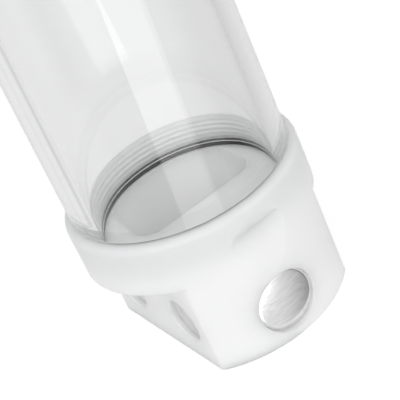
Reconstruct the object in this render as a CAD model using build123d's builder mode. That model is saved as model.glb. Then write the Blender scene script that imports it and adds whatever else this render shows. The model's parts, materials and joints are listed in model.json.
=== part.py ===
"""Tube reservoir of a liquid cooling loop: a clear tube screwed between a ported base and a ported cap.

Millimetres. Z up along the tube, origin at the middle of the base's underside, front towards -Y.
"""
from build123d import *
import math
import os

# Tube
tube_outer_d = 60.0
tube_wall = 5.0
tube_length = 104.0
spigot_step = 1.2           # how much the threaded ends are turned down
spigot_length = 7.0
tube_edge_chamfer = 0.5
thread_clearance = 0.06     # radial gap of every screwed pair

# Base: a round collar on a block with two flat sides
collar_margin = 2.0         # collar's and cap's radius beyond the tube's
collar_height = 14.4
left_flat = 20.9            # from the tube's axis to the flat with the open ports
right_flat = 23.0
block_height = 27.0
edge_break = 0.5

# Seat of the tube's ends, in the base and in the cap
tube_seal_height = 1.6
tube_seal_width = 2.8
tube_seal_gap = 0.25        # from the spigot's outside to the seal

# Hollow below the tube: three straight sides and a round back, narrower beside the right ports
pocket_left = 16.5          # from the tube's axis to each side
pocket_right = 20.5
pocket_right_below = 16.5
pocket_front = 3.1
pocket_back_radius = 24.6
pocket_corner = 6.0
pocket_ledge = 19.8         # where it narrows, above the underside
floor_thickness = 6.0

# Ports, all with the same quarter inch pipe thread
port_radius = 6.15          # pitch radius of the thread
port_mouth_radius = 6.6
port_height = 12.2          # side ports' axes above the underside
port_spacing = 26.6
front_thread_depth = 9.0
cross_bore_radius = 4.5
feed_radius = 4.0
feed_setback = 3.7          # feed hole ahead of the front ports' axis
right_seat_depth = 5.2      # shoulder inside each right port, for the flush plug's seal

# Badge on the front
badge_diameter = 16.6
badge_thickness = 1.0
badge_height = 10.8         # its centre above the underside
badge_clearance = 0.2
badge_depth = 1.2           # its face below the front of the block
adhesive_thickness = 0.2
adhesive_margin = 0.4
badge_edge_break = 0.15

# Scoop on the front, above the badge
scoop_radius = 8.75
scoop_height = 29.5
scoop_crease = 4.9          # crease above the scoop's centre
scoop_depth = 1.4

# Cap
cap_roof = 10.1
cap_port_circle = 14.5
cap_port_count = 3

# Plugs
plug_head_radius = 9.25
plug_head_height = 2.6
plug_hex = 5.0              # across flats of the socket for the key
plug_hex_depth = 4.2
plug_thread_length = 5.0
plug_edge_break = 0.5
plug_seal_radius = 7.7
plug_seal_width = 1.9
plug_seal_height = 1.3
seal_clearance = 0.05

# Plugs of the right ports, which end flush with the flat
flush_inset = 0.3           # plug's face below the flat
flush_hex_depth = 2.4
flush_edge_break = 0.3
flush_seal_radius = 5.3
flush_seal_width = 1.3
flush_seal_height = 1.1

# Fill plug, turned by hand or with a coin
fill_head_radius = 11.0
fill_head_height = 5.0
fill_flutes = 12
fill_flute_radius = 1.6
fill_flute_inset = 0.8      # how far a flute's centre lies outside the head
fill_slot_width = 2.2
fill_slot_length = 15.0
fill_slot_depth = 2.0
fill_edge_round = 0.8

# Sizes that follow from those above
tube_radius = tube_outer_d / 2
tube_bore_radius = tube_radius - tube_wall
spigot_radius = tube_radius - spigot_step
socket_radius = spigot_radius + thread_clearance
socket_depth = spigot_length + tube_seal_height
collar_radius = tube_radius + collar_margin
base_height = block_height + collar_height
socket_floor = base_height - socket_depth
tube_bottom = socket_floor + tube_seal_height
tube_top = tube_bottom + tube_length
cap_height = socket_depth + cap_roof
cap_bottom = tube_top + tube_seal_height - socket_depth
cap_top = cap_bottom + cap_height
tube_seal_radius = spigot_radius - tube_seal_gap - tube_seal_width / 2
half_spacing = port_spacing / 2
stud_radius = port_radius - thread_clearance

# Each port's plane: origin in the middle of the mouth, Z out of the port
left_front_port = Plane(origin=(-left_flat, -half_spacing, port_height), x_dir=(0, 1, 0), z_dir=(-1, 0, 0))
left_rear_port = Plane(origin=(-left_flat, half_spacing, port_height), x_dir=(0, 1, 0), z_dir=(-1, 0, 0))
right_front_port = Plane(origin=(right_flat, -half_spacing, port_height), x_dir=(0, 1, 0), z_dir=(1, 0, 0))
right_rear_port = Plane(origin=(right_flat, half_spacing, port_height), x_dir=(0, 1, 0), z_dir=(1, 0, 0))
cap_ports = [
    Plane(
        origin=(
            cap_port_circle * math.sin(2 * math.pi * i / cap_port_count),
            -cap_port_circle * math.cos(2 * math.pi * i / cap_port_count),
            cap_top,
        ),
        x_dir=(1, 0, 0),
        z_dir=(0, 0, 1),
    )
    for i in range(cap_port_count)
]


def section_of(port):
    """The plane through a port's axis: local X away from the axis, local Y out of the port."""
    return Plane(origin=port.origin, x_dir=port.x_dir, z_dir=port.y_dir * -1)


def seal_ring(port, mean_radius, width, height):
    """A squeezed O-ring that lies on the port's face."""
    with BuildPart() as ring:
        with BuildSketch(section_of(port)):
            with Locations((mean_radius, height / 2)):
                RectangleRounded(width, height, 0.49 * height)
        revolve(axis=Axis(port.origin, port.z_dir))
    return ring


def plug_blank(port, head_radius, head_height, fillet_radius):
    """A plug's head with its seal groove, and its stud."""
    with BuildPart() as blank:
        with BuildSketch(port):
            Circle(head_radius)
        extrude(amount=head_height)
        rims = blank.edges().filter_by(GeomType.CIRCLE).group_by(Axis(port.origin, port.z_dir))
        fillet(rims[-1], fillet_radius)
        with BuildSketch(port):
            Circle(plug_seal_radius + plug_seal_width / 2 + seal_clearance)
            Circle(stud_radius, mode=Mode.SUBTRACT)
        extrude(amount=plug_seal_height + seal_clearance, mode=Mode.SUBTRACT)
        with BuildSketch(port.offset(-plug_thread_length)):
            Circle(stud_radius)
        extrude(amount=plug_thread_length)
        rims = blank.edges().filter_by(GeomType.CIRCLE).group_by(Axis(port.origin, port.z_dir))
        chamfer(rims[0], plug_edge_break)
    return blank


def stop_plug(port):
    """A plug with a hexagon socket for the key."""
    blank = plug_blank(port, plug_head_radius, plug_head_height, plug_edge_break)
    with BuildPart() as plug:
        add(blank.part)
        with BuildSketch(port.offset(plug_head_height)):
            RegularPolygon(plug_hex / 2, 6, major_radius=False)
        extrude(amount=-plug_hex_depth, mode=Mode.SUBTRACT)
    return plug


def flush_plug(port):
    """A headless plug that presses its seal on the shoulder inside the port."""
    inner_end = port.offset(flush_seal_height - right_seat_depth)
    length = right_seat_depth - flush_seal_height - flush_inset
    with BuildPart() as plug:
        with BuildSketch(inner_end):
            Circle(stud_radius)
        extrude(amount=length)
        chamfer(plug.edges().filter_by(GeomType.CIRCLE), flush_edge_break)
        with BuildSketch(port.offset(-flush_inset)):
            RegularPolygon(plug_hex / 2, 6, major_radius=False)
        extrude(amount=-flush_hex_depth, mode=Mode.SUBTRACT)
    return plug


def pocket_outline(right_side):
    """The hollow seen from above."""
    depth = pocket_front + 2 * pocket_back_radius
    with BuildSketch() as outline:
        Circle(pocket_back_radius)
        with Locations(((right_side - pocket_left) / 2, depth / 2 - pocket_front)):
            RectangleRounded(pocket_left + right_side, depth, pocket_corner, mode=Mode.INTERSECT)
    return outline.sketch


# Scoop: above its crease the face rolls inwards, below it a ramp runs out to the face again
scoop_top = (-collar_radius, scoop_height + scoop_radius)
scoop_bottom = (-collar_radius, scoop_height - scoop_radius)
crease_point = (-collar_radius + scoop_depth, scoop_height + scoop_crease)
with BuildPart() as scoop_cutter:
    with BuildSketch(Plane.YZ):
        with BuildLine():
            TangentArc(scoop_top, crease_point, tangent=(0, -1))
            Polyline(
                crease_point,
                scoop_bottom,
                (-collar_radius - scoop_depth, scoop_bottom[1]),
                (-collar_radius - scoop_depth, scoop_top[1]),
                scoop_top,
            )
        make_face()
    extrude(amount=scoop_radius, both=True)
    with BuildSketch(Plane.XZ):
        with Locations((0, scoop_height)):
            Circle(scoop_radius)
    extrude(amount=collar_radius + scoop_depth, mode=Mode.INTERSECT)

# Base block with its collar, socket, hollow, ports, badge seat and scoop
with BuildPart() as base_block:
    with BuildSketch(Plane.XY):
        Circle(collar_radius)
        with Locations(((right_flat - left_flat) / 2, 0)):
            Rectangle(left_flat + right_flat, 2 * collar_radius, mode=Mode.INTERSECT)
    extrude(amount=block_height)
    chamfer(base_block.edges().filter_by(Axis.Z), edge_break)
    chamfer(base_block.faces().sort_by(Axis.Z)[0].edges(), edge_break)
    with BuildSketch(Plane.XY.offset(block_height)):
        Circle(collar_radius)
    extrude(amount=collar_height)
    fillet(base_block.faces().sort_by(Axis.Z)[-1].edges(), collar_margin - 0.001)
    with BuildSketch(Plane.XY.offset(base_height)):
        Circle(socket_radius)
    extrude(amount=-socket_depth, mode=Mode.SUBTRACT)
    with BuildSketch(Plane.XY.offset(socket_floor)):
        add(pocket_outline(pocket_right))
    extrude(amount=pocket_ledge - socket_floor, mode=Mode.SUBTRACT)
    with BuildSketch(Plane.XY.offset(pocket_ledge)):
        add(pocket_outline(pocket_right_below))
    extrude(amount=floor_thickness - pocket_ledge, mode=Mode.SUBTRACT)
    with Locations(left_front_port):
        CounterSinkHole(port_radius, port_mouth_radius, front_thread_depth, counter_sink_angle=90)
        Hole(cross_bore_radius, left_flat + right_flat)
    with Locations(left_rear_port):
        CounterSinkHole(port_radius, port_mouth_radius, left_flat, counter_sink_angle=90)
    with Locations(right_front_port, right_rear_port):
        CounterSinkHole(port_radius, port_mouth_radius, right_seat_depth, counter_sink_angle=90)
    with Locations(right_rear_port):
        Hole(cross_bore_radius, right_flat)
    with Locations((0, -half_spacing - feed_setback, socket_floor)):
        Hole(feed_radius, socket_floor - port_height)
    with BuildSketch(Plane.XZ.offset(collar_radius)):
        with Locations((0, badge_height)):
            Circle(badge_diameter / 2 + badge_clearance)
    extrude(amount=-(badge_depth + badge_thickness + adhesive_thickness), mode=Mode.SUBTRACT)
    add(scoop_cutter.part, mode=Mode.SUBTRACT)

# Badge, held in its seat by a thin adhesive disc
adhesive_plane = Plane.XZ.offset(collar_radius - badge_depth - badge_thickness - adhesive_thickness)
with BuildPart() as badge_adhesive:
    with BuildSketch(adhesive_plane):
        with Locations((0, badge_height)):
            Circle(badge_diameter / 2 - adhesive_margin)
    extrude(amount=adhesive_thickness)

with BuildPart() as badge_disc:
    with BuildSketch(adhesive_plane.offset(adhesive_thickness)):
        with Locations((0, badge_height)):
            Circle(badge_diameter / 2)
    extrude(amount=badge_thickness)
    chamfer(badge_disc.faces().sort_by(Axis.Y)[0].edges(), badge_edge_break)

# Tube, turned down and threaded at both ends
with BuildPart() as tube:
    with BuildSketch(Plane.XY.offset(tube_bottom)):
        Circle(spigot_radius)
    extrude(amount=tube_length)
    with BuildSketch(Plane.XY.offset(tube_bottom + spigot_length)):
        Circle(tube_radius)
    extrude(amount=tube_length - 2 * spigot_length)
    with BuildSketch(Plane.XY.offset(tube_bottom)):
        Circle(tube_bore_radius)
    extrude(amount=tube_length, mode=Mode.SUBTRACT)
    tube_ends = tube.edges().group_by(Axis.Z)
    chamfer(tube_ends[0].sort_by(SortBy.RADIUS)[-1], tube_edge_chamfer)
    chamfer(tube_ends[-1].sort_by(SortBy.RADIUS)[-1], tube_edge_chamfer)

base_seal = seal_ring(Plane.XY.offset(socket_floor), tube_seal_radius, tube_seal_width, tube_seal_height)
cap_seal = seal_ring(Plane.XY.offset(tube_top), tube_seal_radius, tube_seal_width, tube_seal_height)

# Cap
with BuildPart() as top_cap:
    with BuildSketch(Plane.XY.offset(cap_bottom)):
        Circle(collar_radius)
    extrude(amount=cap_height)
    fillet(top_cap.faces().sort_by(Axis.Z)[0].edges(), collar_margin - 0.001)
    chamfer(top_cap.faces().sort_by(Axis.Z)[-1].edges(), edge_break)
    with BuildSketch(Plane.XY.offset(cap_bottom)):
        Circle(socket_radius)
    extrude(amount=socket_depth, mode=Mode.SUBTRACT)
    with Locations(*cap_ports):
        CounterSinkHole(port_radius, port_mouth_radius, cap_roof, counter_sink_angle=90)

# Fill plug with a fluted rim and a coin slot
fill_port = cap_ports[0]
fill_blank = plug_blank(fill_port, fill_head_radius, fill_head_height, fill_edge_round)
with BuildPart() as fill_plug:
    add(fill_blank.part)
    with BuildSketch(fill_port):
        with PolarLocations(fill_head_radius + fill_flute_inset, fill_flutes):
            Circle(fill_flute_radius)
    extrude(amount=fill_head_height, mode=Mode.SUBTRACT)
    with BuildSketch(fill_port.offset(fill_head_height)):
        SlotOverall(fill_slot_length, fill_slot_width)
    extrude(amount=-fill_slot_depth, mode=Mode.SUBTRACT)

pieces = {
    "base_block": base_block,
    "badge_adhesive": badge_adhesive,
    "badge_disc": badge_disc,
    "base_o_ring": base_seal,
    "tube": tube,
    "top_o_ring": cap_seal,
    "top_cap": top_cap,
    "fill_plug": fill_plug,
    "fill_plug_o_ring": seal_ring(fill_port, plug_seal_radius, plug_seal_width, plug_seal_height),
}
for place, port in {"top_right": cap_ports[1], "top_left": cap_ports[2]}.items():
    pieces[place + "_plug"] = stop_plug(port)
    pieces[place + "_plug_o_ring"] = seal_ring(port, plug_seal_radius, plug_seal_width, plug_seal_height)
for place, port in {"right_front": right_front_port, "right_rear": right_rear_port}.items():
    shoulder = port.offset(-right_seat_depth)
    pieces[place + "_plug"] = flush_plug(port)
    pieces[place + "_plug_o_ring"] = seal_ring(shoulder, flush_seal_radius, flush_seal_width, flush_seal_height)

os.makedirs("parts", exist_ok=True)
for name, piece in pieces.items():
    piece.part.label = name
    export_step(piece.part, f"parts/{name}.step")
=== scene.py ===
"""Looks of the tube reservoir. Metres, Z up along the tube, origin under the base, front towards -Y."""
import json
import math
import bmesh
import bpy
from mathutils import Matrix, Vector


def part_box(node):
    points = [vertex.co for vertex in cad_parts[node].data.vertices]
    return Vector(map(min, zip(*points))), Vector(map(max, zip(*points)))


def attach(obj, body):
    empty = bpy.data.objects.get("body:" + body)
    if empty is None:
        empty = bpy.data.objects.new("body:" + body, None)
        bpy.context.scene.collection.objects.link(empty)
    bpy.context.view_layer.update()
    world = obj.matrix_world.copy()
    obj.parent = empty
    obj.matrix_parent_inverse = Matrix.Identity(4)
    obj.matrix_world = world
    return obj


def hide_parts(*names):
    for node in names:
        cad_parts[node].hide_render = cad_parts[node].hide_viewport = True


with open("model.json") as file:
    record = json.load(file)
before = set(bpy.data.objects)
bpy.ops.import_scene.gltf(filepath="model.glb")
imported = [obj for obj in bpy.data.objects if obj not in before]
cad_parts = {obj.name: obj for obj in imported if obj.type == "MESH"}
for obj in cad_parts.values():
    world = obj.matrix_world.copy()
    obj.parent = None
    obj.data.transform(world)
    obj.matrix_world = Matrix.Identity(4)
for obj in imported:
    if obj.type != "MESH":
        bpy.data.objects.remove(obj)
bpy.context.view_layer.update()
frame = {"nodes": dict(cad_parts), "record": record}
MM = 0.001
TURN = 2 * math.pi
UP = (0, 0, 1)

# Sizes repeated from the model
TUBE_RADIUS = 30 * MM
BORE_RADIUS = 25 * MM
SPIGOT_RADIUS = 28.8 * MM
SPIGOT_LENGTH = 7 * MM
TUBE_EDGE = 0.5 * MM
PORT_RADIUS = 6.15 * MM
PORT_HEIGHT = 12.2 * MM
HALF_SPACING = 13.3 * MM
LEFT_FLAT = 20.9 * MM
STUD_RADIUS = 6.09 * MM
BADGE_RADIUS = 8.3 * MM

# The tube's shoulders: their edge break, and their gap to the collar and the cap
STEP_EDGE = 0.35 * MM
STEP_GAP = 0.3 * MM

# The tube's seals. SEAL_POWER shapes their section: 1 makes an ellipse and 0 a rectangle
SEAL_CONTACT = 0.03 * MM       # overlap with what squeezes them
SEAL_INSET = 0.3 * MM          # from the bore to their inner side
SEAL_POWER = 0.4

# The badge: how far its dome falls to the rim, and how much further from a share of the radius on
BADGE_DOME = 0.62 * MM
BADGE_ROLL = 0.22 * MM
BADGE_ROLL_START = 0.9

# Threads
TUBE_PITCH = 1.5 * MM
TUBE_THREAD_DEPTH = 0.12 * MM
PORT_PITCH = 1.337 * MM
PORT_THREAD_DEPTH = 0.45 * MM
THREAD_FLAT = 0.2              # share of a pitch that the crest takes, and the root too
THREAD_FADE = 0.25             # share of the length over which each end runs out
ROWS_PER_PITCH = 12

# The plugs' studs
STUD_PLAIN_END = 0.5 * MM      # plain length at the inner end of a cap plug
FLUSH_PLAIN_END = 0.25 * MM    # plain length at both ends of a flush plug
STUD_TOLERANCE = 0.04 * MM     # a vertex this close to the stud's radius takes the thread

# The threaded liners of the open ports
LINER_THREAD_DEPTH = 0.15 * MM
LINER_WALL = 0.005 * MM        # at the thread's root
LINER_GAP = 0.005 * MM         # to the wall of the port
LINER_START = 2.0 * MM         # below the flat
LINER_END = 8.9 * MM

# Faces round each turned piece, and along the section of two of them
TUBE_SEGMENTS = 192
SEAL_SEGMENTS = 160
SEAL_CORNERS = 32
BADGE_SEGMENTS = 128
BADGE_RINGS = 28
LINER_SEGMENTS = 96

SAME_POINT = 1e-7              # vertices closer than this are one
ALONG_AXIS = 0.999             # cosine from which a face looks along an axis

# Camera, solved from the outline in the photograph
CAMERA_AZIMUTH = math.radians(248.126)
CAMERA_REACH = 314.43 * MM
CAMERA_HEIGHT = 210.72 * MM
CAMERA_PITCH = 0.5197
CAMERA_YAW = 0.0074
CAMERA_ROLL = -0.4279
CAMERA_NEAR = 10 * MM
FOCAL_PIXELS = 1393.5
PHOTO_PIXELS = 400
SENSOR_WIDTH = 36.0

# Studio light: azimuth of its stronger side, its level away from and towards that side, and the cosines
# between which the level changes
LIGHT_AZIMUTH = 245
SIDE_LIGHT = (0.45, 1.15)
SIDE_TURN = (-0.6, 0.7)

# One soft lamp from the front
LAMP_PLACE = (-0.45, -0.9, 0.35)
LAMP_AIM = (0, 0, 0.06)
LAMP_SIDE = 0.5
LAMP_POWER = 0.8

# What clear and shiny surfaces show: its level at each azimuth, from 180 degrees once round
FLAGS = [
    (180, 1.0), (200, 0.75), (235, 0.78), (285, 0.87), (295, 0.78), (306, 0.5), (313, 0.24),
    (327, 0.2), (340, 0.52), (375, 0.68), (400, 0.8), (425, 0.89), (442, 0.89), (452, 0.87),
    (473, 0.84), (478, 0.62), (484, 0.84), (510, 0.95), (540, 1.0),
]

# The softbox that they show. Each side is a plane through two directions, with a third on its inner side,
# all as azimuth and elevation in degrees. SOFTBOX_EDGE is the softness of both sides
SOFTBOX_LEFT = ((246.2, -20.7), (234.2, -29.9), (262, -25))
SOFTBOX_RIGHT = ((285.4, -21.5), (273.9, -30.3), (262, -25))
SOFTBOX_EDGE = 0.004
SOFTBOX_LIGHT = 1.38

# Elevations between which the softbox fades upwards, and the share of its level that is left above them
SOFTBOX_TOP = (-19, -13)
SOFTBOX_REST = 0.12

# The same for everything that a reflection shows
SHINE_HORIZON = (-16, -6)
SHINE_TOP = 0.6

# The floor: half its width, its colour, and the share and strength of the glow that the camera sees on it
FLOOR_REACH = 4.0
FLOOR_COLOUR = (0.95, 0.95, 0.95, 1)
FLOOR_SHARE = 0.85
FLOOR_GLOW = 1.06
WHITE = (1, 1, 1, 1)


def new_material(name):
    """A new material, with its nodes, its links and its principled shader."""
    material = bpy.data.materials.new(name)
    material.use_nodes = True
    nodes = material.node_tree.nodes
    links = material.node_tree.links
    shader = nodes["Principled BSDF"]
    return material, nodes, links, shader


def object_noise(nodes, links, scale, detail, stretch=(1, 1, 1)):
    """Noise in the object's own coordinates. A stretch under 1 draws it out along that axis."""
    coordinates = nodes.new("ShaderNodeTexCoord")
    mapping = nodes.new("ShaderNodeMapping")
    mapping.inputs["Scale"].default_value = stretch
    noise = nodes.new("ShaderNodeTexNoise")
    noise.inputs["Scale"].default_value = scale
    noise.inputs["Detail"].default_value = detail
    links.new(coordinates.outputs["Object"], mapping.inputs["Vector"])
    links.new(mapping.outputs["Vector"], noise.inputs["Vector"])
    return noise.outputs["Fac"]


def ramp(nodes, links, value, stops):
    """A colour ramp fed by value. stops are (position, (r, g, b))."""
    node = nodes.new("ShaderNodeValToRGB")
    elements = node.color_ramp.elements
    while len(elements) < len(stops):
        elements.new(0.5)
    for element, (position, colour) in zip(elements, stops):
        element.position = position
        element.color = (*colour, 1)
    links.new(value, node.inputs["Fac"])
    return node.outputs["Color"]


def spread(nodes, links, value, low, high):
    """Maps a value from 0..1 onto low..high."""
    node = nodes.new("ShaderNodeMapRange")
    node.inputs["To Min"].default_value = low
    node.inputs["To Max"].default_value = high
    links.new(value, node.inputs["Value"])
    return node.outputs["Result"]


def between(nodes, links, value, start, end, low, high):
    """Maps start..end smoothly onto low..high."""
    node = nodes.new("ShaderNodeMapRange")
    node.interpolation_type = "SMOOTHSTEP"
    node.inputs["From Min"].default_value = start
    node.inputs["From Max"].default_value = end
    node.inputs["To Min"].default_value = low
    node.inputs["To Max"].default_value = high
    links.new(value, node.inputs["Value"])
    return node.outputs["Result"]


def combined(nodes, links, operation, first, second):
    """Two values joined by a sum, product or the like. The second may be a number."""
    node = nodes.new("ShaderNodeMath")
    node.operation = operation
    links.new(first, node.inputs[0])
    if isinstance(second, (int, float)):
        node.inputs[1].default_value = second
    else:
        links.new(second, node.inputs[1])
    return node.outputs[0]


def mixed(nodes, links, share, first, second):
    """Two shaders mixed, with a share of the second."""
    node = nodes.new("ShaderNodeMixShader")
    links.new(share, node.inputs["Fac"])
    links.new(first, node.inputs[1])
    links.new(second, node.inputs[2])
    return node.outputs[0]


def bump(nodes, links, height, distance, strength, shader):
    """Raises the shader's surface by height."""
    node = nodes.new("ShaderNodeBump")
    node.inputs["Distance"].default_value = distance
    node.inputs["Strength"].default_value = strength
    links.new(height, node.inputs["Height"])
    links.new(node.outputs["Normal"], shader.inputs["Normal"])


def glossy_or_through(nodes, links, rays):
    """1 for rays that come by a reflection or through a clear part, otherwise 0."""
    glossy = rays.outputs["Is Glossy Ray"]
    through = rays.outputs["Is Transmission Ray"]
    return combined(nodes, links, "MAXIMUM", glossy, through)


def white_plastic():
    """Machined white plastic that lets light into itself."""
    material, nodes, links, shader = new_material("frosted_white_plastic")
    cloud = object_noise(nodes, links, 90, 3)
    grain = object_noise(nodes, links, 2600, 2)
    tint = ramp(nodes, links, cloud, [(0.3, (0.915, 0.918, 0.918)), (0.7, (0.93, 0.932, 0.93))])
    links.new(tint, shader.inputs["Base Color"])
    links.new(spread(nodes, links, cloud, 0.38, 0.48), shader.inputs["Roughness"])
    shader.inputs["Subsurface Weight"].default_value = 1.0
    shader.inputs["Subsurface Radius"].default_value = (1.0, 0.97, 0.95)
    shader.inputs["Subsurface Scale"].default_value = 7 * MM
    shader.inputs["Specular IOR Level"].default_value = 0.35
    bump(nodes, links, grain, 0.02 * MM, 0.2, shader)
    return material


def clear_acrylic():
    """Polished clear acrylic. Light on its way to other surfaces passes straight through it."""
    material, nodes, links, shader = new_material("clear_acrylic")
    cloud = object_noise(nodes, links, 40, 2, (1, 1, 0.3))
    tint = ramp(nodes, links, cloud, [(0.3, (0.942, 0.946, 0.944)), (0.7, (0.952, 0.956, 0.954))])
    links.new(tint, shader.inputs["Base Color"])
    links.new(spread(nodes, links, cloud, 0.0, 0.004), shader.inputs["Roughness"])
    shader.inputs["Transmission Weight"].default_value = 1.0
    shader.inputs["IOR"].default_value = 1.49
    clear = nodes.new("ShaderNodeBsdfTransparent")
    clear.inputs["Color"].default_value = (0.98, 0.985, 0.985, 1)
    rays = nodes.new("ShaderNodeLightPath")
    shadow = rays.outputs["Is Shadow Ray"]
    diffuse = rays.outputs["Is Diffuse Ray"]
    lighting = combined(nodes, links, "MAXIMUM", shadow, diffuse)
    surface = mixed(nodes, links, lighting, shader.outputs[0], clear.outputs[0])
    links.new(surface, nodes["Material Output"].inputs["Surface"])
    return material


def cut_acrylic():
    """Threads cut into acrylic: matt and pale, with fine marks round them."""
    material, nodes, links, shader = new_material("cut_acrylic")
    marks = object_noise(nodes, links, 500, 3, (0.15, 0.15, 2.5))
    tint = ramp(nodes, links, marks, [(0.35, (0.90, 0.90, 0.895)), (0.65, (0.95, 0.95, 0.945))])
    links.new(tint, shader.inputs["Base Color"])
    links.new(spread(nodes, links, marks, 0.55, 0.7), shader.inputs["Roughness"])
    bump(nodes, links, marks, 0.02 * MM, 0.3, shader)
    return material


def cut_plastic():
    """Threads cut into the white plastic."""
    material, nodes, links, shader = new_material("cut_white_plastic")
    marks = object_noise(nodes, links, 900, 3, (0.3, 1, 1))
    tint = ramp(nodes, links, marks, [(0.35, (0.955, 0.957, 0.955)), (0.65, (0.975, 0.977, 0.975))])
    links.new(tint, shader.inputs["Base Color"])
    links.new(spread(nodes, links, marks, 0.45, 0.6), shader.inputs["Roughness"])
    bump(nodes, links, marks, 0.01 * MM, 0.2, shader)
    return material


def black_rubber():
    """Smooth moulded rubber."""
    material, nodes, links, shader = new_material("black_rubber")
    cloud = object_noise(nodes, links, 700, 3)
    tint = ramp(nodes, links, cloud, [(0.3, (0.006, 0.006, 0.006)), (0.7, (0.012, 0.012, 0.012))])
    links.new(tint, shader.inputs["Base Color"])
    links.new(spread(nodes, links, cloud, 0.42, 0.55), shader.inputs["Roughness"])
    shader.inputs["Specular IOR Level"].default_value = 0.3
    bump(nodes, links, cloud, 0.02 * MM, 0.3, shader)
    return material


def brushed_metal():
    """Aluminium brushed from side to side."""
    material, nodes, links, shader = new_material("brushed_aluminium")
    lines = object_noise(nodes, links, 6000, 3, (0.02, 1, 2))
    tint = ramp(nodes, links, lines, [(0.38, (0.74, 0.74, 0.74)), (0.62, (0.93, 0.93, 0.93))])
    links.new(tint, shader.inputs["Base Color"])
    links.new(spread(nodes, links, lines, 0.16, 0.26), shader.inputs["Roughness"])
    shader.inputs["Metallic"].default_value = 1.0
    bump(nodes, links, lines, 0.01 * MM, 0.3, shader)
    return material


def nickel():
    """Satin nickel plate with a faint mottle."""
    material, nodes, links, shader = new_material("nickel_plate")
    cloud = object_noise(nodes, links, 1500, 4)
    tint = ramp(nodes, links, cloud, [(0.3, (0.60, 0.58, 0.55)), (0.7, (0.70, 0.68, 0.65))])
    links.new(tint, shader.inputs["Base Color"])
    links.new(spread(nodes, links, cloud, 0.2, 0.3), shader.inputs["Roughness"])
    shader.inputs["Metallic"].default_value = 1.0
    bump(nodes, links, cloud, 0.01 * MM, 0.3, shader)
    return material


def adhesive_film():
    """Pale transfer film."""
    material, nodes, links, shader = new_material("adhesive_film")
    cloud = object_noise(nodes, links, 400, 3)
    tint = ramp(nodes, links, cloud, [(0.3, (0.62, 0.61, 0.58)), (0.7, (0.70, 0.69, 0.66))])
    links.new(tint, shader.inputs["Base Color"])
    links.new(spread(nodes, links, cloud, 0.5, 0.65), shader.inputs["Roughness"])
    return material


def floor_white():
    """Matt white with a glow that only the camera sees.

    Reflections, clear parts and views from below look through it.
    """
    material, nodes, links, shader = new_material("floor_white")
    shader.inputs["Base Color"].default_value = FLOOR_COLOUR
    shader.inputs["Roughness"].default_value = 1.0
    shader.inputs["Specular IOR Level"].default_value = 0.0
    glow = nodes.new("ShaderNodeEmission")
    glow.inputs["Strength"].default_value = FLOOR_GLOW
    rays = nodes.new("ShaderNodeLightPath")
    share = combined(nodes, links, "MULTIPLY", rays.outputs["Is Camera Ray"], FLOOR_SHARE)
    surface = mixed(nodes, links, share, shader.outputs[0], glow.outputs[0])
    underside = nodes.new("ShaderNodeNewGeometry").outputs["Backfacing"]
    seen_through = combined(nodes, links, "MAXIMUM", glossy_or_through(nodes, links, rays), underside)
    hole = nodes.new("ShaderNodeBsdfTransparent")
    surface = mixed(nodes, links, seen_through, surface, hole.outputs[0])
    links.new(surface, nodes["Material Output"].inputs["Surface"])
    return material


FROSTED_WHITE = white_plastic()
FINISHES = {
    "white_plastic": FROSTED_WHITE,
    "white_plastic_plug": FROSTED_WHITE,
    "clear_acrylic": clear_acrylic(),
    "cut_acrylic": cut_acrylic(),
    "cut_plastic": cut_plastic(),
    "brushed_metal": brushed_metal(),
    "nickel_plate": nickel(),
    "black_rubber": black_rubber(),
    "adhesive": adhesive_film(),
}


def wave(phase):
    """A thread's section over one pitch: 0 on the crest, 1 at the root, straight flanks between."""
    distance = abs((phase % 1) - 0.5) * 2
    return min(max((distance - THREAD_FLAT) / (1 - 2 * THREAD_FLAT), 0), 1)


def fade(share):
    """How deep a thread is at a share of its length, which runs out at both ends."""
    return min(1, share / THREAD_FADE, (1 - share) / THREAD_FADE)


def thread_rows(radius, low, high, pitch, groove):
    """Profile points along a threaded stretch, whose thread runs out at both ends."""
    count = round((high - low) / pitch * ROWS_PER_PITCH)
    rows = []
    for k in range(count + 1):
        share = k / count
        rows.append((radius, low + (high - low) * share, groove * fade(share)))
    return rows


def turned_mesh(name, profile, segments, pitch=None):
    """A closed solid of revolution about Z. profile is a closed loop of (radius, height, groove).

    Where groove isn't 0, a right-handed thread is cut that deep into the radius.
    """
    vertices = []
    for radius, height, groove in profile:
        for i in range(segments):
            turn = i / segments
            cut = groove * wave(height / pitch - turn) if groove else 0
            r = radius - cut
            vertices.append((r * math.cos(turn * TURN), r * math.sin(turn * TURN), height))
    faces = []
    rows = len(profile)
    for row in range(rows):
        here = row * segments
        above = (row + 1) % rows * segments
        for i in range(segments):
            j = (i + 1) % segments
            faces.append((here + i, here + j, above + j, above + i))
    mesh = bpy.data.meshes.new(name)
    mesh.from_pydata(vertices, [], faces)
    return mesh


def finished(name, mesh, finish, sharp):
    """Makes an object of a mesh, with clean normals. Edges of more than sharp degrees stay sharp."""
    form = bmesh.new()
    form.from_mesh(mesh)
    bmesh.ops.remove_doubles(form, verts=form.verts, dist=SAME_POINT)
    bmesh.ops.recalc_face_normals(form, faces=form.faces)
    form.to_mesh(mesh)
    form.free()
    mesh.shade_smooth()
    mesh.set_sharp_from_angle(angle=math.radians(sharp))
    mesh.materials.clear()
    mesh.materials.append(FINISHES[finish])
    piece = bpy.data.objects.new(name, mesh)
    bpy.context.scene.collection.objects.link(piece)
    return piece


def dress(piece, body, slot, *nodes):
    """The piece rides on a body and stands for the nodes, which it hides. slot is not used."""
    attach(piece, body)
    if nodes:
        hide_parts(*nodes)


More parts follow.
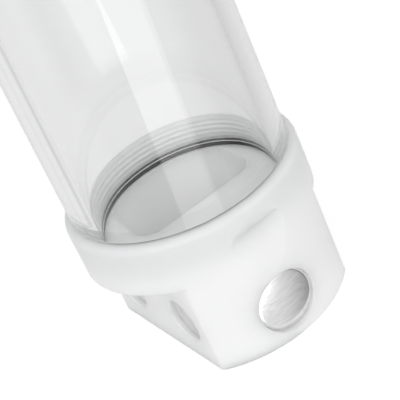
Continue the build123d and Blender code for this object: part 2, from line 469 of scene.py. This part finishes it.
def make_tube():
    """The clear tube with its two threaded spigots."""
    low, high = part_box("tube")
    bottom, top = low.z, high.z
    low_step, high_step = bottom + SPIGOT_LENGTH, top - SPIGOT_LENGTH
    low_shoulder, high_shoulder = low_step + STEP_GAP, high_step - STEP_GAP
    low_thread = thread_rows(SPIGOT_RADIUS, bottom + TUBE_EDGE, low_step, TUBE_PITCH, TUBE_THREAD_DEPTH)
    high_thread = thread_rows(SPIGOT_RADIUS, high_step, top - TUBE_EDGE, TUBE_PITCH, TUBE_THREAD_DEPTH)
    profile = [
        (BORE_RADIUS, bottom, 0),
        (SPIGOT_RADIUS - TUBE_EDGE, bottom, 0),
        *low_thread,
        (SPIGOT_RADIUS, low_shoulder, 0),
        (TUBE_RADIUS - STEP_EDGE, low_shoulder, 0),
        (TUBE_RADIUS, low_shoulder + STEP_EDGE, 0),
        (TUBE_RADIUS, high_shoulder - STEP_EDGE, 0),
        (TUBE_RADIUS - STEP_EDGE, high_shoulder, 0),
        (SPIGOT_RADIUS, high_shoulder, 0),
        *high_thread,
        (SPIGOT_RADIUS - TUBE_EDGE, top, 0),
        (BORE_RADIUS, top, 0),
    ]
    mesh = turned_mesh("clear_tube", profile, TUBE_SEGMENTS, TUBE_PITCH)
    piece = finished("clear_tube", mesh, "clear_acrylic", sharp=35)
    mesh.materials.append(FINISHES["cut_acrylic"])
    for face in mesh.polygons:
        height = face.center.z
        low_cut = bottom + TUBE_EDGE < height < low_shoulder + STEP_EDGE / 4
        high_cut = high_shoulder - STEP_EDGE / 4 < height < top - TUBE_EDGE
        if low_cut or high_cut:
            face.material_index = 1
    dress(piece, "tube", "clear_acrylic", "tube")


def squeezed_ring(name, outer, width, low, high):
    """A ring whose section is a rounded rectangle, between the heights low and high."""
    profile = []
    for k in range(SEAL_CORNERS):
        angle = k / SEAL_CORNERS * TURN
        across = math.copysign(abs(math.cos(angle)) ** SEAL_POWER, math.cos(angle))
        up = math.copysign(abs(math.sin(angle)) ** SEAL_POWER, math.sin(angle))
        radius = outer + width / 2 * (across - 1)
        profile.append((radius, (low + high) / 2 + (high - low) / 2 * up, 0))
    return turned_mesh(name, profile, SEAL_SEGMENTS)


def make_tube_seals():
    """The black seals below and above the tube."""
    for node, body in (("base_o_ring", "tube_seal"), ("top_o_ring", "cap_seal")):
        low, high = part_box(node)
        width = high.x - BORE_RADIUS - SEAL_INSET
        name = node + "_round"
        mesh = squeezed_ring(name, high.x, width, low.z - SEAL_CONTACT, high.z + SEAL_CONTACT)
        dress(finished(name, mesh, "black_rubber", sharp=80), body, "black_rubber", node)


def make_badge():
    """A brushed disc: slightly domed, with its rim rolled back."""
    low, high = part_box("badge_disc")
    thickness = high.y - low.y
    front = []
    for k in range(BADGE_RINGS + 1):
        out = k / BADGE_RINGS
        rolled = BADGE_ROLL * max(0, (out - BADGE_ROLL_START) / (1 - BADGE_ROLL_START)) ** 2
        front.append((BADGE_RADIUS * out, thickness - BADGE_DOME * out ** 2 - rolled, 0))
    profile = [(0, 0, 0), (BADGE_RADIUS, 0, 0), *reversed(front)]
    mesh = turned_mesh("badge_dome", profile, BADGE_SEGMENTS)
    face_forward = Matrix.Rotation(math.radians(90), 4, "X")
    place = Matrix.Translation((0, high.y, (low.z + high.z) / 2))
    mesh.transform(place @ face_forward)
    piece = finished("badge_dome", mesh, "brushed_metal", sharp=50)
    dress(piece, "base", "brushed_metal", "badge_disc")


def make_port_liners():
    """Threads in the two open ports of the left flat."""
    outer = PORT_RADIUS - LINER_GAP
    crest = outer - LINER_WALL - LINER_THREAD_DEPTH
    rows = thread_rows(crest, LINER_START, LINER_END, PORT_PITCH, -LINER_THREAD_DEPTH)
    profile = [(outer, LINER_START, 0), (outer, LINER_END, 0), *reversed(rows)]
    into_port = Matrix.Rotation(math.radians(90), 4, "Y")
    for end, side in (("front", -1), ("rear", 1)):
        name = "left_port_thread_" + end
        mesh = turned_mesh(name, profile, LINER_SEGMENTS, PORT_PITCH)
        place = Matrix.Translation((-LEFT_FLAT, side * HALF_SPACING, PORT_HEIGHT))
        mesh.transform(place @ into_port)
        dress(finished(name, mesh, "cut_plastic", sharp=50), "base", "white_plastic")


def cut_thread(plug, slot, centre, along, low, high):
    """A copy of a plug with a thread cut into its stud, to stand for the plain one.

    centre is a point on the stud's axis, and along is the direction of the axis out of the port. low and high
    are heights along the axis, from the centre.
    """
    mesh = frame["nodes"][plug].data.copy()
    upright = Vector(along).rotation_difference(Vector(UP)).to_matrix().to_4x4()
    to_axis = upright @ Matrix.Translation(-Vector(centre))
    mesh.transform(to_axis)
    form = bmesh.new()
    form.from_mesh(mesh)
    bmesh.ops.remove_doubles(form, verts=form.verts, dist=SAME_POINT)
    cuts = round((high - low) / PORT_PITCH * ROWS_PER_PITCH)
    for k in range(cuts + 1):
        level = (0, 0, low + (high - low) * k / cuts)
        everything = [*form.verts, *form.edges, *form.faces]
        bmesh.ops.bisect_plane(form, geom=everything, plane_co=level, plane_no=UP, dist=SAME_POINT)
    for vertex in form.verts:
        x, y, z = vertex.co
        radius = math.hypot(x, y)
        if abs(radius - STUD_RADIUS) > STUD_TOLERANCE or not low < z < high:
            continue
        turn = math.atan2(y, x) / TURN
        cut = PORT_THREAD_DEPTH * fade((z - low) / (high - low)) * wave(z / PORT_PITCH - turn)
        vertex.co.x *= (radius - cut) / radius
        vertex.co.y *= (radius - cut) / radius
    form.to_mesh(mesh)
    form.free()
    mesh.transform(to_axis.inverted())
    piece = finished(plug + "_threaded", mesh, slot, sharp=32)
    for face in mesh.polygons:
        if abs(face.normal.dot(Vector(along))) > ALONG_AXIS:
            face.use_smooth = False
    dress(piece, plug, slot, plug)


def make_plugs():
    """The five plugs, with their threads."""
    for plug in ("fill_plug", "top_left_plug", "top_right_plug"):
        low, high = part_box(plug)
        seal_low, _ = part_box(plug + "_o_ring")
        centre = ((low.x + high.x) / 2, (low.y + high.y) / 2, seal_low.z)
        slot = "white_plastic_plug" if plug == "fill_plug" else "nickel_plate"
        cut_thread(plug, slot, centre, UP, low.z - seal_low.z + STUD_PLAIN_END, 0)
    for plug in ("right_front_plug", "right_rear_plug"):
        low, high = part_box(plug)
        centre = (low.x, (low.y + high.y) / 2, (low.z + high.z) / 2)
        length = high.x - low.x
        cut_thread(plug, "nickel_plate", centre, (1, 0, 0), FLUSH_PLAIN_END, length - FLUSH_PLAIN_END)


def dress_nodes():
    """Gives every node of the model the finish of its own slot."""
    for row in frame["record"]["subparts"]:
        node = frame["nodes"][row["node"]]
        node.data.materials.clear()
        node.data.materials.append(FINISHES[row["material_slot"]])


def make_camera():
    """A camera at the photograph's place, tilt and roll."""
    x, y = math.cos(CAMERA_AZIMUTH), math.sin(CAMERA_AZIMUTH)
    forward = Matrix.Rotation(-CAMERA_YAW, 3, "Z") @ Vector((-x, -y, 0))
    forward = forward * math.cos(CAMERA_PITCH) + Vector((0, 0, -math.sin(CAMERA_PITCH)))
    right = forward.cross(Vector(UP)).normalized()
    up = right.cross(forward)
    turn = Matrix.Rotation(-CAMERA_ROLL, 3, forward)
    right, up = turn @ right, turn @ up
    data = bpy.data.cameras.new("photo_camera")
    data.sensor_width = SENSOR_WIDTH
    data.lens = FOCAL_PIXELS / PHOTO_PIXELS * SENSOR_WIDTH
    data.clip_start = CAMERA_NEAR
    camera = bpy.data.objects.new("photo_camera", data)
    place = Matrix((right, up, -forward)).transposed().to_4x4()
    place.translation = (x * CAMERA_REACH, y * CAMERA_REACH, CAMERA_HEIGHT)
    camera.matrix_world = place
    bpy.context.scene.collection.objects.link(camera)
    bpy.context.scene.camera = camera


def rising(elevation):
    """The vertical part of a direction at an elevation in degrees."""
    return math.sin(math.radians(elevation))


def direction(azimuth, elevation):
    """The unit vector towards an azimuth and elevation in degrees."""
    a, e = math.radians(azimuth), math.radians(elevation)
    return Vector((math.cos(a) * math.cos(e), math.sin(a) * math.cos(e), math.sin(e)))


def edge_plane(first, second, inside):
    """Normal of the plane through two directions, on the side of a third."""
    normal = direction(*first).cross(direction(*second)).normalized()
    return normal if normal.dot(direction(*inside)) > 0 else -normal


def towards(nodes, links, vector, axis):
    """How far a direction leans towards an axis: 1 along it, -1 against it."""
    node = nodes.new("ShaderNodeVectorMath")
    node.operation = "DOT_PRODUCT"
    node.inputs[1].default_value = axis
    links.new(vector, node.inputs[0])
    return node.outputs["Value"]


def studio_level(nodes, links, sky):
    """The light on the part: an even, soft studio, a little stronger from the front left."""
    side = towards(nodes, links, sky, direction(LIGHT_AZIMUTH, 0))
    return between(nodes, links, side, *SIDE_TURN, *SIDE_LIGHT)


def softbox_level(nodes, links, sky, rise):
    """The tilted softbox: 0 outside its two sides, and weaker above its top."""
    start, end = (rising(elevation) for elevation in SOFTBOX_TOP)
    level = between(nodes, links, rise, start, end, SOFTBOX_LIGHT, SOFTBOX_LIGHT * SOFTBOX_REST)
    for side in (SOFTBOX_LEFT, SOFTBOX_RIGHT):
        depth = towards(nodes, links, sky, edge_plane(*side))
        inside = between(nodes, links, depth, -SOFTBOX_EDGE, SOFTBOX_EDGE, 0, 1)
        level = combined(nodes, links, "MULTIPLY", level, inside)
    return level


def shown_level(nodes, links, sky, rays):
    """What clear and shiny surfaces show: dark flags and the softbox. High up, a reflection shows less."""
    around = nodes.new("ShaderNodeTexGradient")
    around.gradient_type = "RADIAL"
    links.new(sky, around.inputs["Vector"])
    stops = [((azimuth - 180) / 360, (level,) * 3) for azimuth, level in FLAGS]
    flags = ramp(nodes, links, around.outputs["Fac"], stops)
    rise = towards(nodes, links, sky, UP)
    level = combined(nodes, links, "ADD", softbox_level(nodes, links, sky, rise), flags)
    start, end = (rising(elevation) for elevation in SHINE_HORIZON)
    loss = between(nodes, links, rise, start, end, 0, 1 - SHINE_TOP)
    loss = combined(nodes, links, "MULTIPLY", loss, rays.outputs["Is Reflection Ray"])
    kept = spread(nodes, links, loss, 1, 0)
    return combined(nodes, links, "MULTIPLY", level, kept)


def make_world():
    """White to the camera, a studio of their own to clear and shiny surfaces, and soft light to the rest."""
    world = bpy.data.worlds.new("studio")
    world.use_nodes = True
    bpy.context.scene.world = world
    nodes, links = world.node_tree.nodes, world.node_tree.links
    sky = nodes.new("ShaderNodeTexCoord").outputs["Generated"]
    rays = nodes.new("ShaderNodeLightPath")
    studio = nodes["Background"]
    shown = nodes.new("ShaderNodeBackground")
    white = nodes.new("ShaderNodeBackground")
    for background in (studio, shown, white):
        background.inputs["Color"].default_value = WHITE
    links.new(studio_level(nodes, links, sky), studio.inputs["Strength"])
    links.new(shown_level(nodes, links, sky, rays), shown.inputs["Strength"])
    by_surface = glossy_or_through(nodes, links, rays)
    surface = mixed(nodes, links, by_surface, studio.outputs[0], shown.outputs[0])
    surface = mixed(nodes, links, rays.outputs["Is Camera Ray"], surface, white.outputs[0])
    links.new(surface, nodes["World Output"].inputs["Surface"])


def make_floor():
    """A wide white floor that keeps a soft shadow."""
    mesh = bpy.data.meshes.new("floor")
    corners = [(x * FLOOR_REACH, y * FLOOR_REACH, 0) for x, y in ((-1, -1), (1, -1), (1, 1), (-1, 1))]
    mesh.from_pydata(corners, [], [(0, 1, 2, 3)])
    mesh.materials.append(floor_white())
    floor = bpy.data.objects.new("floor", mesh)
    bpy.context.scene.collection.objects.link(floor)


def make_lamp():
    """The soft area lamp, aimed at the part."""
    data = bpy.data.lights.new("key_lamp", "AREA")
    data.size = LAMP_SIDE
    data.energy = LAMP_POWER
    lamp = bpy.data.objects.new("key_lamp", data)
    lamp.location = LAMP_PLACE
    aim = Vector(LAMP_AIM) - Vector(LAMP_PLACE)
    lamp.rotation_mode = "QUATERNION"
    lamp.rotation_quaternion = aim.to_track_quat("-Z", "Y")
    bpy.context.scene.collection.objects.link(lamp)


scene = bpy.context.scene
scene.view_settings.view_transform = "Standard"
make_camera()
make_world()
make_floor()
make_lamp()
dress_nodes()
make_tube()
make_tube_seals()
make_badge()
make_port_liners()
make_plugs()
